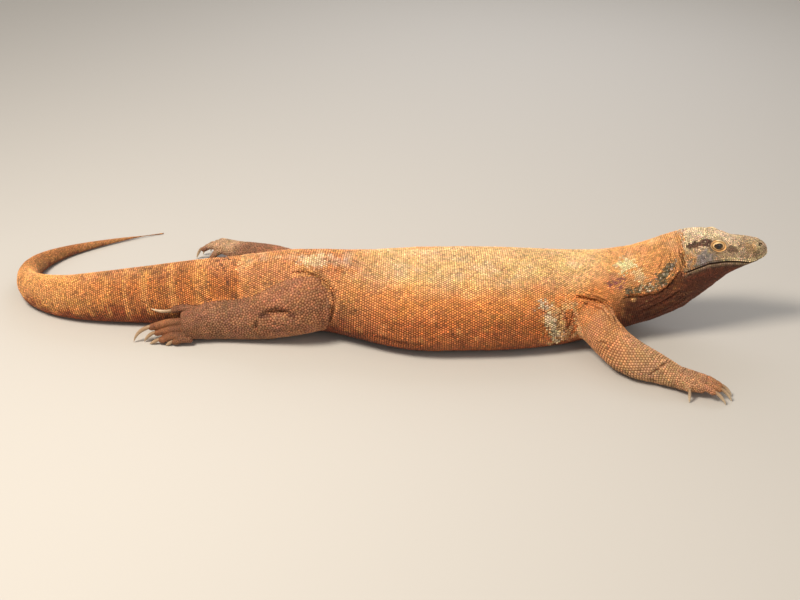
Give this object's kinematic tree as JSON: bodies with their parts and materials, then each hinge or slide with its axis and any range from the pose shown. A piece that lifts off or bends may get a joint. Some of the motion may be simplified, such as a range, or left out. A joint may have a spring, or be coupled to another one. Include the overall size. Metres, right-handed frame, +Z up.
{
  "type": "komodo dragon",
  "caption": "Life-size still model of a large monitor lizard lying on its belly, head raised, forelegs set forward, hind legs stretched back and the tail curled round behind.",
  "frame": {"origin": "on the floor, under the middle of the whole animal's box", "axes": "+X from the tail towards the snout, +Y to the animal's left, +Z up from the floor"},
  "size_m": [1.888, 0.8336, 0.271],
  "materials": {
    "body_skin": "matt bead scales, orange tan with dark brown skin between",
    "head_skin": "small matt scales, grey olive with a pale cheek",
    "throat_skin": "loose dark red-brown skin",
    "tail_skin": "ringed bead scales, orange yellow with dark speckles",
    "leg_skin": "coarse bead scales, grey brown",
    "claw_horn": "worn horn, slightly polished at the tip",
    "eye": "wet gloss"
  },
  "bodies": {
    "root": {"belly": "body_skin", "chest": "body_skin", "eye_left": "eye", "eye_right": "eye", "head": "head_skin", "left_foot": "leg_skin", "left_foot_claw_1": "claw_horn", "left_foot_claw_2": "claw_horn", "left_foot_claw_3": "claw_horn", "left_foot_claw_4": "claw_horn", "left_foot_claw_5": "claw_horn", "left_forearm": "leg_skin", "left_hand": "leg_skin", "left_hand_claw_1": "claw_horn", "left_hand_claw_2": "claw_horn", "left_hand_claw_3": "claw_horn", "left_hand_claw_4": "claw_horn", "left_hand_claw_5": "claw_horn", "left_shank": "leg_skin", "left_thigh": "leg_skin", "left_upper_arm": "leg_skin", "lower_jaw": "head_skin", "neck": "body_skin", "pelvis": "body_skin", "right_foot": "leg_skin", "right_foot_claw_1": "claw_horn", "right_foot_claw_2": "claw_horn", "right_foot_claw_3": "claw_horn", "right_foot_claw_4": "claw_horn", "right_foot_claw_5": "claw_horn", "right_forearm": "leg_skin", "right_hand": "leg_skin", "right_hand_claw_1": "claw_horn", "right_hand_claw_2": "claw_horn", "right_hand_claw_3": "claw_horn", "right_hand_claw_4": "claw_horn", "right_hand_claw_5": "claw_horn", "right_shank": "leg_skin", "right_thigh": "leg_skin", "right_upper_arm": "leg_skin", "tail_base": "tail_skin", "tail_bend_far": "tail_skin", "tail_bend_near": "tail_skin", "tail_thick": "tail_skin", "tail_thin": "tail_skin", "throat": "throat_skin"}
  },
  "joints": []
}
